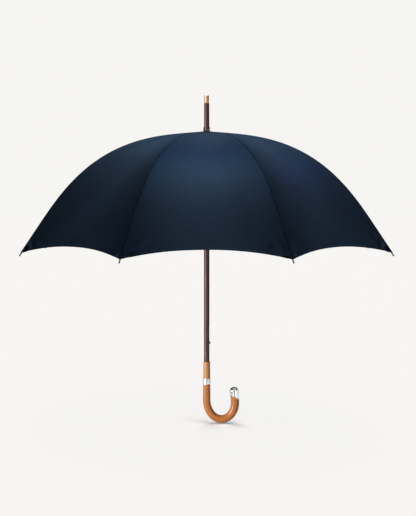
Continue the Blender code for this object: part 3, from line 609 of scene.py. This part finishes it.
def painted_rib_shade(made, along):
    """Painted shade on the cloth: darker towards the ribs, and more so the lower it is."""
    away_from_rib = made.math("SINE", made.product(made.mark("across"), math.pi))
    fading = made.span(along, 0.10, 0.42, 0.1, 1.0)
    wear_and_shade = made.product(made.math("SUBTRACT", away_from_rib, 1.0), fading)
    return made.span(wear_and_shade, -1.0, 0.0, SHADE_AT_RIB, SHADE_MIDDLE)


def stitch_line(made, stitches, x, y):
    """Distance from a line of stitches, and the place along it."""
    if stitches == "hem":
        return made.math("ABSOLUTE", made.math("SUBTRACT", made.mark("hem_gap"), STITCH_IN)), x
    from_middle = made.math("ABSOLUTE", x)
    return made.math("ABSOLUTE", made.math("SUBTRACT", from_middle, STITCH_OUT)), y


def cloth_material(name, colour, light, stitches):
    """Tight twill of fine yarn with a satin sheen, painted shade towards the ribs, and painted
    shade and highlight on seams; stitches is None, hem or seam.
    """
    made = Nodes(name)
    x, y, _ = made.axes("UV")
    straight = made.product(made.wave(x, YARN_PITCH), made.wave(y, YARN_PITCH))
    twill = made.wave(made.sum(x, y), 2.0 * YARN_PITCH)
    weave = made.sum(straight, made.product(twill, 0.6))
    slub = made.noise(made.mapped("UV", (900.0, 60.0, 1.0)), 2.0)
    cloud = made.noise(made.mapped("UV", (9.0, 7.0, 1.0)), 3.0)
    tone = made.mix(made.span(cloud, 0.3, 0.7, 0.0, 1.0), colour, light)
    yarn_and_shade = made.sum(made.span(slub, 0.25, 0.75, 0.82, 1.18), made.product(weave, 0.05))
    # painted shade: the cloth is made darker towards the ribs, more so lower down
    yarn_and_shade = made.product(yarn_and_shade, painted_rib_shade(made, y))
    if stitches == "seam":
        # painted shade along the seam's edges and a faint painted highlight along its middle
        seam_shade = made.span(made.math("ABSOLUTE", x), 0.0014, 0.0026, SEAM_RIDGE_HIGHLIGHT, SEAM_EDGE_SHADE)
        yarn_and_shade = made.product(yarn_and_shade, seam_shade)
    toned = made.mix(1.0, tone, yarn_and_shade, "MULTIPLY")
    normal = made.bump(weave, 0.00003, 0.35)
    if stitches:
        away, run = stitch_line(made, stitches, x, y)
        near = made.span(away, 0.0002, 0.00042, 1.0, 0.0)
        dash = made.span(made.wave(run, STITCH_PITCH), -0.45, -0.15, 0.0, 1.0)
        thread = made.product(near, dash)
        toned = made.mix(thread, toned, tuple(c * 1.9 + 0.004 for c in colour))
        sunk = made.span(away, 0.0, 0.0011, -1.0, 0.0)
        normal = made.bump(made.sum(made.product(thread, 0.8), sunk), 0.00016, 0.8, normal)
    made.drives(Base_Color=toned, Roughness=made.span(cloud, 0.3, 0.7, 0.36, 0.41),
                Normal=normal)
    made.sets(Specular_IOR_Level=0.0, Metallic=SATIN, Specular_Tint=SATIN_TINT,
              Sheen_Weight=0.10, Sheen_Roughness=0.35, Sheen_Tint=SHEEN_TINT)
    return made.material


def wood_material(name, tones, source, stretch, coat, rough, depth, paler=None):
    """Lacquered wood with long grain and small pores, perhaps paler above the band."""
    made = Nodes(name)
    dark, middle, light = tones
    across, along = stretch
    scale = (across, along, 1.0) if source == "UV" else (across, across, along)
    figure = made.noise(made.mapped(source, scale), 5.0, 0.6)
    fine = made.noise(made.mapped(source, tuple(6.0 * s for s in scale)), 3.0, 0.7)
    pores = made.noise(made.mapped(source, tuple(14.0 * s for s in scale)), 2.0, 0.5)
    grain = made.sum(made.product(figure, 0.72), made.product(fine, 0.28))
    pore = made.span(pores, 0.66, 0.74, 0.0, 1.0)
    colour = made.ramp(grain, (0.30, dark), (0.50, middle), (0.72, light))
    colour = made.mix(made.product(pore, 0.35), colour, dark)
    if paler:
        upper = made.span(made.axes("Object")["Z"], -0.004, 0.004, 0.0, 0.6)
        colour = made.mix(upper, colour, paler)
    height = made.math("SUBTRACT", grain, made.product(pore, 0.5))
    made.drives(Base_Color=colour, Normal=made.bump(height, depth, 0.5),
                Roughness=made.span(grain, 0.3, 0.7, rough + 0.05, rough - 0.03))
    made.sets(Coat_Weight=coat, Coat_Roughness=0.22, Specular_IOR_Level=0.4)
    return made.material


def metal_material(name, colour, wear_and_shade, rough, brushing):
    """Metal with fine scratches and slightly cloudy polish."""
    made = Nodes(name)
    cloud = made.noise(made.mapped("Object", (90.0, 90.0, 90.0)), 4.0)
    scratch = made.noise(made.mapped("Object", brushing), 3.0, 0.7)
    both = made.sum(made.product(cloud, 0.5), made.product(scratch, 0.5))
    made.drives(Base_Color=made.mix(made.span(cloud, 0.35, 0.75, 0.0, 1.0), colour, wear_and_shade),
                Roughness=made.span(both, 0.3, 0.7, rough * 0.75, rough * 1.35),
                Normal=made.bump(scratch, 0.00002, 0.25))
    made.sets(Metallic=1.0)
    return made.material


def painted_material(name, colour, bare):
    """Black stoved paint on steel, a little rubbed."""
    made = Nodes(name)
    cloud = made.noise(made.mapped("Object", (60.0, 60.0, 60.0)), 5.0, 0.65)
    orange_peel = made.noise(made.mapped("Object", (900.0, 900.0, 900.0)), 2.0)
    rub = made.product(made.span(cloud, 0.66, 0.76, 0.0, 1.0), 0.35)
    made.drives(Base_Color=made.mix(rub, colour, bare),
                Roughness=made.span(cloud, 0.3, 0.7, 0.30, 0.42),
                Normal=made.bump(orange_peel, 0.00002, 0.4))
    made.sets(Metallic=0.35, Specular_IOR_Level=0.5)
    return made.material


NAVY = (0.0145, 0.0252, 0.0430)
NAVY_LIGHT = (0.0172, 0.0300, 0.0510)
CLOTH_PLAIN = cloth_material("navy_twill", NAVY, NAVY_LIGHT, None)
CLOTH_HEM = cloth_material("navy_twill_hemmed", NAVY, NAVY_LIGHT, "hem")
# painted shade: the seams, and the strap that shares their cloth, are coloured darker than the
# gores
CLOTH_SEAM_SHADED = cloth_material("navy_twill_seam_shaded", tuple(0.7 * c for c in NAVY),
                            tuple(0.7 * c for c in NAVY_LIGHT), "seam")
SHAFT_WOOD = wood_material(
    "rosewood", ((0.036, 0.009, 0.007), (0.095, 0.029, 0.022), (0.160, 0.056, 0.042)),
    "Object", (420.0, 14.0), coat=0.22, rough=0.36, depth=0.00006)
HANDLE_WOOD = wood_material(
    "bent_maple", ((0.400, 0.125, 0.030), (0.700, 0.235, 0.058), (0.820, 0.335, 0.100)),
    "UV", (330.0, 16.0), coat=0.3, rough=0.38, depth=0.00005, paler=(0.850, 0.440, 0.200))
BRASS = metal_material("brass", (0.640, 0.400, 0.205), (0.520, 0.300, 0.140), 0.30,
                       (300.0, 300.0, 2600.0))
SILVER = metal_material("silver", (0.860, 0.865, 0.860), (0.790, 0.795, 0.790), 0.13,
                        (500.0, 500.0, 1800.0))
BAND_SILVER = metal_material("satin_silver", (0.780, 0.755, 0.725), (0.700, 0.680, 0.650), 0.34,
                             (500.0, 500.0, 1800.0))
STEEL = metal_material("bright_steel", (0.520, 0.530, 0.550), (0.420, 0.430, 0.450), 0.26,
                       (1500.0, 1500.0, 300.0))
PAINT = painted_material("black_steel", (0.012, 0.013, 0.015), (0.10, 0.10, 0.105))


# ---------------------------------------------------------------- cloth

def turned(vector, azimuth):
    """A vector turned about the Z axis."""
    return Matrix.Rotation(azimuth, 3, "Z") @ Vector(vector)


def fold(piece, part, rib, side):
    """Give a piece beside a rib its own mesh, after turning its fold axis into the rib's frame."""
    axis, offset, keep = FOLDS[part]
    axis = Vector((axis[0], axis[1] * side, axis[2])).normalized()
    axis = turned(axis, rib_azimuth(rib))
    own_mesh(piece)


def panel_arcs(part, across, hem):
    """Arc length from the hub at each row and column of a panel's grid."""
    level = np.ones_like(across)
    if part == "crown":
        return (HOLE + (CROWN_ARC - HOLE) * np.linspace(0.0, 1.0, CROWN_ROWS + 1))[:, None] * level
    if part == "upper":
        rows = np.linspace(0.0, 1.0, UPPER_ROWS + 1)[:, None]
        lap = UNDERLAP * 2.0 * np.minimum(across, 1.0 - across)
        tongue = FLEX_ARC + UNDERLAP_START + lap * np.array(UNDERLAP_SHARES)[:, None]
        return np.concatenate([CROWN_ARC + (FLEX_ARC - CROWN_ARC) * rows * level, tongue])
    rows = np.linspace(0.0, 1.0, LOWER_ROWS + 1)[:-3]
    rows = np.concatenate([rows, HEM_SHARES])[:, None]
    return FLEX_ARC + (hem - FLEX_ARC) * rows


def grid_area(points):
    """Area of a surface given as a grid of points."""
    down = points[1:, :-1] - points[:-1, :-1]
    side = points[:-1, 1:] - points[:-1, :-1]
    return float(np.linalg.norm(np.cross(down, side), axis=-1).sum())


def half_gore(rib, side, part, with_pieces=()):
    """One panel of the half gore beside a rib: its crown, its upper or its lower part."""
    outer = part == "lower"
    gore = rib if side > 0 else gore_before(rib)
    across = np.linspace(0.0, 0.5, ACROSS + 1)
    if side < 0:
        across = 1.0 - across
    hem = hem_arc(across)
    arc = panel_arcs(part, across, hem)
    wide = np.broadcast_to(across, arc.shape)
    drop = 0.0 if outer else np.where(arc > FLEX_ARC + 1e-6, UNDERLAP_DROP, 0.0)
    gap = hem - arc
    thick = CLOTH + HEM_EXTRA * (gap < HEM - 1e-5) * (1.0 if outer else 0.0)
    upper = gore_points(gore, wide, arc, drop)
    lower = gore_points(gore, wide, arc, drop + thick)
    chord = rib_gap(arc)
    uv = np.stack([(wide - 0.5) * chord, arc], -1)
    normals = gore_normals(gore, wide, arc)
    name = f"cloth_{rib}_{'after' if side > 0 else 'before'}_{part}"
    mesh = sheet_mesh(name, upper, lower, normals, uv, {"hem_gap": gap, "across": wide})
    panel = new_object(name, mesh, CLOTH_HEM if outer else CLOTH_PLAIN)
    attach(panel, f"rib_{rib}_end" if outer else f"rib_{rib}")
    fold(panel, part, rib, side)
    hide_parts(f"canopy_gore_{gore}")
    round(grid_area(upper), 5)


def seam_points(rib, offset, arc, lift):
    """Points beside a rib, on whichever gore they lie over."""
    share = abs(offset) / rib_gap(arc)
    if offset >= 0.0:
        return gore_points(rib, share, arc, -lift)
    return gore_points(gore_before(rib), 1.0 - share, arc, -lift)


def rib_seam(rib):
    """Felled seam with two rows of stitches, over one rib."""
    arc = np.linspace(SEAM_START, RIB_ARC - SEAM_SHORT, SEAM_ROWS + 1)
    offsets = np.array(SEAM_OFFSETS) * SEAM_HALF
    lifts = np.array(SEAM_LIFTS) * SEAM_LIFT
    upper = np.stack([seam_points(rib, o, arc, h) for o, h in zip(offsets, lifts)], 1)
    lower = np.stack([seam_points(rib, o, arc, -SEAM_SUNK) for o in offsets], 1)
    normals = unit_normals(np.gradient(upper, axis=0), np.gradient(upper, axis=1))
    uv = np.stack(np.broadcast_arrays(offsets[None, :], arc[:, None]), -1)
    mesh = sheet_mesh(f"rib_seam_{rib}", upper, lower, normals, uv)
    seam = new_object(f"rib_seam_{rib}", mesh, CLOTH_SEAM_SHADED)
    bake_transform(seam)
    return seam


def rosette():
    """Round patch with a pinked edge, under the collar."""
    low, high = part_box("apex_rosette")
    collar_low, collar_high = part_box("apex_collar")
    outer = (high.x - low.x) / 2
    inner = (collar_high.x - collar_low.x) / 2 - PATCH_TUCK
    shares = np.linspace(0.0, 1.0, PATCH_RINGS)
    rows = []
    for k in range(PATCH_TURNS):
        angle = math.tau * k / PATCH_TURNS
        pinked = outer - (PINKING if k % 2 else 0.0)
        radius = inner + (pinked - inner) * shares
        height = high.z - (radius - inner) * math.tan(SLOPE_START)
        height = height - PATCH_DROP + PATCH_WAVE * np.sin(angle * RIBS) * shares
        rows.append(np.stack([radius * math.cos(angle), radius * math.sin(angle), height], -1))
    upper = np.array(rows)
    lower = upper - np.array([0.0, 0.0, CLOTH])
    verts = np.concatenate([upper.reshape(-1, 3), lower.reshape(-1, 3)])
    count = PATCH_TURNS * PATCH_RINGS
    faces = []
    for k in range(PATCH_TURNS):
        here = k * PATCH_RINGS
        there = (k + 1) % PATCH_TURNS * PATCH_RINGS
        for i in range(PATCH_RINGS - 1):
            quad = (here + i, here + i + 1, there + i + 1, there + i)
            faces += [quad, tuple(v + count for v in reversed(quad))]
        for i, flip in ((0, True), (PATCH_RINGS - 1, False)):
            edge = (here + i, here + i + count, there + i + count, there + i)
            faces.append(tuple(reversed(edge)) if flip else edge)
    mesh = bpy.data.meshes.new("apex_patch")
    mesh.from_pydata(verts.tolist(), [], faces)
    layer = mesh.uv_layers.new(name="UVMap")
    for loop in mesh.loops:
        place = mesh.vertices[loop.vertex_index].co
        layer.data[loop.index].uv = (place.x, place.y)
    patch = new_object("apex_patch", mesh, CLOTH_PLAIN)
    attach(patch, "frame")
    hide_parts("apex_rosette")


def tie_strap():
    """Tie strap with stitched edges, lying on its gore."""
    shares = np.linspace(0.0, 1.0, STRAP_ROWS + 1)
    arc = STRAP_START + (STRAP_END - STRAP_START) * shares
    end = ((shares - STRAP_ROUND) / (1.0 - STRAP_ROUND)).clip(0.0, 1.0)
    half = STRAP_HALF * np.sqrt(np.clip(1.0 - end ** 2, 0.05, 1.0))
    beside = half[:, None] * np.array(STRAP_OFFSETS)
    share = (STRAP_CENTRE + beside) / rib_gap(arc)[:, None]
    arcs = np.broadcast_to(arc[:, None], share.shape)
    crown = np.broadcast_to(np.array(STRAP_CROWN), share.shape)
    upper = gore_points(STRAP_RIB, share, arcs, -(STRAP_LIFT + STRAP_THICK * crown))
    lower = gore_points(STRAP_RIB, share, arcs, -STRAP_LIFT * np.ones_like(share))
    normals = gore_normals(STRAP_RIB, share, arcs)
    uv = np.stack([beside * STITCH_OUT / STRAP_STITCH, arcs], -1)
    strap = new_object("strap", sheet_mesh("strap", upper, lower, normals, uv), CLOTH_SEAM_SHADED)
    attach(strap, f"rib_{STRAP_RIB}_end")
    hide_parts("tie_strap")
    fold(strap, "lower", STRAP_RIB, 1)


# ---------------------------------------------------------------- handle

def crook_point(level, half, height, angle):
    """Point on an ellipse round the middle of the crook's mouth."""
    return Vector((BEND_HALF + half * math.cos(angle), 0.0, level + height * math.sin(angle)))


def nose_point(angle):
    """Point on the last, rising stretch of the centre line."""
    return crook_point(NOSE_LEVEL, NOSE_HALF, NOSE_RISE, angle)


def handle_path():
    """Centre line of the handle, from its top to the end of the nose."""
    grip = HANDLE_TOP - BEND_TOP
    points = [Vector((0.0, 0.0, HANDLE_TOP - grip * i / GRIP_STEPS)) for i in range(GRIP_STEPS)]
    for i in range(BEND_STEPS + 1):
        angle = math.pi + math.pi / 2 * i / BEND_STEPS
        points.append(crook_point(BEND_TOP, BEND_HALF, BEND_DROP, angle))
    for i in range(1, BEND_STEPS + 1):
        angle = -math.pi / 2 + math.pi / 2 * i / BEND_STEPS
        points.append(crook_point(NOSE_LEVEL, NOSE_HALF, NOSE_DROP, angle))
    points += [nose_point(NOSE_ANGLE * i / NOSE_STEPS) for i in range(1, NOSE_STEPS + 1)]
    return points


def along_radii(points):
    """The handle's radius at each point: it grows evenly towards the nose."""
    lengths = path_lengths(points)
    return [HANDLE_RADIUS + (NOSE_RADIUS - HANDLE_RADIUS) * d / lengths[-1] for d in lengths]


def domed(points, radii, height, grow=0.0):
    """Add a rounded end to a rod's points and radii."""
    along = (points[-1] - points[-2]).normalized()
    last = points[-1]
    full = radii[-1] + grow
    points = list(points)
    radii = [radius + grow for radius in radii]
    for i in range(1, DOME_RINGS + 1):
        angle = math.pi / 2 * i / (DOME_RINGS + 0.3)
        points.append(last + along * (height + grow) * math.sin(angle))
        radii.append(full * math.cos(angle))
    return points, radii


def make_handle():
    """Crook handle and its nose cap with a lobed edge."""
    path = handle_path()
    radii = along_radii(path)
    points, widths = domed(path, radii, NOSE_DOME)
    widths[0] -= HANDLE_EDGE
    points.insert(1, Vector((0.0, 0.0, HANDLE_TOP - HANDLE_EDGE)))
    widths.insert(1, HANDLE_RADIUS)
    crook = new_object("crook", tube_mesh("crook", points, widths, HANDLE_SIDES), HANDLE_WOOD)
    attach(crook, "frame")
    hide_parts("crook_handle")
    shares = [i / NOSE_STEPS for i in range(NOSE_STEPS + 1)]
    nose = [nose_point(CAP_ANGLE + (NOSE_ANGLE - CAP_ANGLE) * share) for share in shares]
    nose_radii = [radii[-1] - CAP_TAPER + CAP_TAPER * share for share in shares]
    cap = new_object("cap", cap_mesh("cap", *domed(nose, nose_radii, NOSE_DOME, CAP_PROUD)),
                     SILVER)
    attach(cap, "frame")
    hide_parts("nose_cap")


def lobed(angle):
    """How far the cap's edge is set back from its lowest place, at an angle from outward."""
    lobe = abs(math.cos(2.0 * angle + math.pi / 2)) ** LOBE_POWER
    return LOBE * (1.0 - lobe) + CAP_SLANT * (1.0 - math.cos(angle)) / 2


def cap_mesh(name, points, widths):
    """Thin silver shell with a lobed, slanting lower edge."""
    outer = tube_rings(points, widths, CAP_SIDES)
    wall = CAP_PROUD - CAP_GAP
    inner = tube_rings(points, [max(w - wall, CAP_GAP) for w in widths], CAP_SIDES)
    along = (points[1] - points[0]).normalized()
    for ring in (outer, inner):
        for j in range(CAP_SLANT_ROWS):
            fade = 1.0 - j / CAP_SLANT_ROWS
            for k in range(CAP_SIDES):
                ring[j][k] = ring[j][k] + along * lobed(math.tau * k / CAP_SIDES) * fade
    verts = [v for ring in outer + inner for v in ring]
    count = len(outer) * CAP_SIDES
    last = count - CAP_SIDES
    faces = []
    for row in range(0, last, CAP_SIDES):
        for k in range(CAP_SIDES):
            a, b = row + k, row + (k + 1) % CAP_SIDES
            c, d = b + CAP_SIDES, a + CAP_SIDES
            faces += [(a, b, c, d), (d + count, c + count, b + count, a + count)]
    for k in range(CAP_SIDES):
        a, b = k, (k + 1) % CAP_SIDES
        faces.append((b, a, a + count, b + count))
    faces.append(tuple(last + k for k in range(CAP_SIDES)))
    faces.append(tuple(last + count + k for k in reversed(range(CAP_SIDES))))
    return new_mesh(name, verts, faces)


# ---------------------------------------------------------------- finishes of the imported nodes

def finish_nodes():
    """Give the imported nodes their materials."""
    by_slot = {"dark_wood": SHAFT_WOOD, "brass": BRASS, "silver": SILVER, "black_steel": PAINT,
               "bright_steel": STEEL, "navy_cloth": CLOTH_PLAIN, "tan_wood": HANDLE_WOOD}
    for part in frame["record"]["subparts"]:
        finish = by_slot[part["material_slot"]]
        if part["node"] == "handle_collar":
            finish = BAND_SILVER
        for slot in frame["nodes"][part["node"]].material_slots:
            slot.material = finish


# ---------------------------------------------------------------- studio

def camera():
    """The camera, level with the canopy and a little above its hem."""
    made = bpy.data.objects.new("camera", bpy.data.cameras.new("camera"))
    bpy.context.scene.collection.objects.link(made)
    made.location = CAMERA_PLACE
    made.rotation_euler = (math.radians(90.0 - CAMERA_DIP), 0.0, 0.0)
    made.data.sensor_width = 36.0
    made.data.lens = CAMERA_LENS
    bpy.context.scene.camera = made


def new_light(name, kind, falls):
    """A light that shines along a direction."""
    made = bpy.data.objects.new(name, bpy.data.lights.new(name, kind))
    bpy.context.scene.collection.objects.link(made)
    made.rotation_euler = falls.to_track_quat("-Z", "Y").to_euler()
    return made


def softbox(name, place, target, size, power):
    """A rectangular area light facing a target."""
    made = new_light(name, "AREA", Vector(target) - Vector(place))
    made.location = place
    made.visible_camera = False
    made.data.shape = "RECTANGLE"
    made.data.size, made.data.size_y = size
    made.data.energy = power
    return made


def shines_on(light, objects, state):
    """Let a light reach only some objects, or all but them."""
    chosen = bpy.data.collections.new(light.name + "_reach")
    for obj in objects:
        chosen.objects.link(obj)
    light.light_linking.receiver_collection = chosen
    for entry in chosen.collection_objects:
        entry.light_linking.link_state = state


def has_finish(obj, finishes):
    """Whether an object carries one of a few materials."""
    return any(slot.material in finishes for slot in obj.material_slots)


def sky():
    """Faint cool light from all round."""
    world = bpy.data.worlds.new("studio")
    bpy.context.scene.world = world
    world.use_nodes = True
    back = world.node_tree.nodes["Background"]
    back.inputs["Color"].default_value = SKY_TINT
    back.inputs["Strength"].default_value = SKY_STRENGTH


def pale_floor(level):
    """Matt floor that glows in part, so that the suns' shadow on it stays pale and cool."""
    glow = [(1.0 - SHADOW_SHARE - FLOOR_SPARE) * p * c for p, c in zip(PALE, SHADOW_TINT)]
    warm = [(p * (1.0 - FLOOR_SPARE) - g) / SHADOW_SHARE for p, g in zip(PALE, glow)]
    made = Nodes("pale_floor")
    made.sets(Base_Color=(*warm, 1.0), Roughness=1.0, Specular_IOR_Level=0.0,
              Emission_Color=(*glow, 1.0), Emission_Strength=1.0)
    mesh = bpy.data.meshes.new("floor")
    reach = FLOOR_REACH
    corners = [(-reach, -reach, 0), (reach, -reach, 0), (reach, reach, 0), (-reach, reach, 0)]
    mesh.from_pydata(corners, [], [(0, 1, 2, 3)])
    floor = new_object("floor", mesh, made.material)
    floor.location.z = level
    floor.visible_diffuse = False
    floor.visible_glossy = False
    floor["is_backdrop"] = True
    return floor


def pale_surround():
    """Evenly glowing drum round the studio, which only the camera sees."""
    made = Nodes("pale_surround")
    glow = made.add("ShaderNodeEmission")
    glow.inputs["Color"].default_value = (*PALE, 1.0)
    made.link(glow.outputs["Emission"], made.tree.nodes["Material Output"].inputs["Surface"])
    made.tree.nodes.remove(made.shader)
    sides = SURROUND_SIDES
    ends = [Vector((0.0, 0.0, -SURROUND_HALF)), Vector((0.0, 0.0, SURROUND_HALF))]
    verts = [v for ring in tube_rings(ends, [SURROUND_RADIUS] * 2, sides) for v in ring]
    faces = [(k, (k + 1) % sides, (k + 1) % sides + sides, k + sides) for k in range(sides)]
    faces += [tuple(range(sides)), tuple(range(sides, 2 * sides))]
    mesh = bpy.data.meshes.new("surround")
    mesh.from_pydata(verts, [], faces)
    surround = new_object("surround", mesh, made.material)
    for ray in ("diffuse", "glossy", "transmission", "shadow", "volume_scatter"):
        setattr(surround, f"visible_{ray}", False)
    surround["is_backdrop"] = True


def contact_suns(floor):
    """Two wide suns on the floor alone, held back by the crook and its cap alone."""
    held_back = bpy.data.collections.new("contact_blockers")
    for name in ("crook", "cap"):
        held_back.objects.link(bpy.data.objects[name])
    for name, falls in SUN_FALLS:
        falls = Vector(falls).normalized()
        sun = new_light(name, "SUN", falls)
        sun.data.angle = SUN_WIDTH
        sun.data.energy = 0.5 * SHADOW_SHARE * math.pi / -falls.z
        shines_on(sun, [floor], "INCLUDE")
        sun.light_linking.blocker_collection = held_back


def studio():
    """Pale floor, pale surroundings for the camera, and soft lights."""
    sky()
    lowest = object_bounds()[0].z
    floor = pale_floor(lowest - FLOOR_DROP)
    pale_surround()
    cloth = [obj for obj in bpy.context.scene.objects if obj.name.startswith(CLOTH_PIECES)]
    metals = (SILVER, BAND_SILVER, BRASS, STEEL)
    shiny = [obj for obj in bpy.context.scene.objects if has_finish(obj, metals)]
    for name, place, size, power in OVERHEAD:
        shines_on(softbox(name, place, CANOPY, size, power), [floor], "EXCLUDE")
    for name, place, size, power in BESIDE:
        shines_on(softbox(name, place, GRIP, size, power), [floor] + cloth, "EXCLUDE")
    under = (0.0, 0.0, lowest + BOUNCE_LIFT)
    shines_on(softbox("bounce", under, CANOPY, BOUNCE_SIZE, BOUNCE_POWER), [floor], "EXCLUDE")
    for k, turn in enumerate(CARD_TURNS):
        angle = math.radians(turn)
        place = (CARD_RADIUS * math.cos(angle), CARD_RADIUS * math.sin(angle), CARD_LEVEL)
        shines_on(softbox(f"card_{k}", place, GRIP, CARD_SIZE, CARD_POWER), shiny, "INCLUDE")
    for name, place, size, power in SMALL_CARDS:
        shines_on(softbox(name, place, GRIP, size, power), shiny, "INCLUDE")
    contact_suns(floor)
    bpy.context.scene.view_settings.view_transform = "Standard"


camera()
finish_nodes()
for rib_index in range(1, RIBS + 1):
    half_gore(rib_index, 1, "crown", [rib_seam(rib_index)])
    half_gore(rib_index, -1, "crown")
    for part_name in ("upper", "lower"):
        half_gore(rib_index, 1, part_name)
        half_gore(rib_index, -1, part_name)
rosette()
tie_strap()
make_handle()
studio()
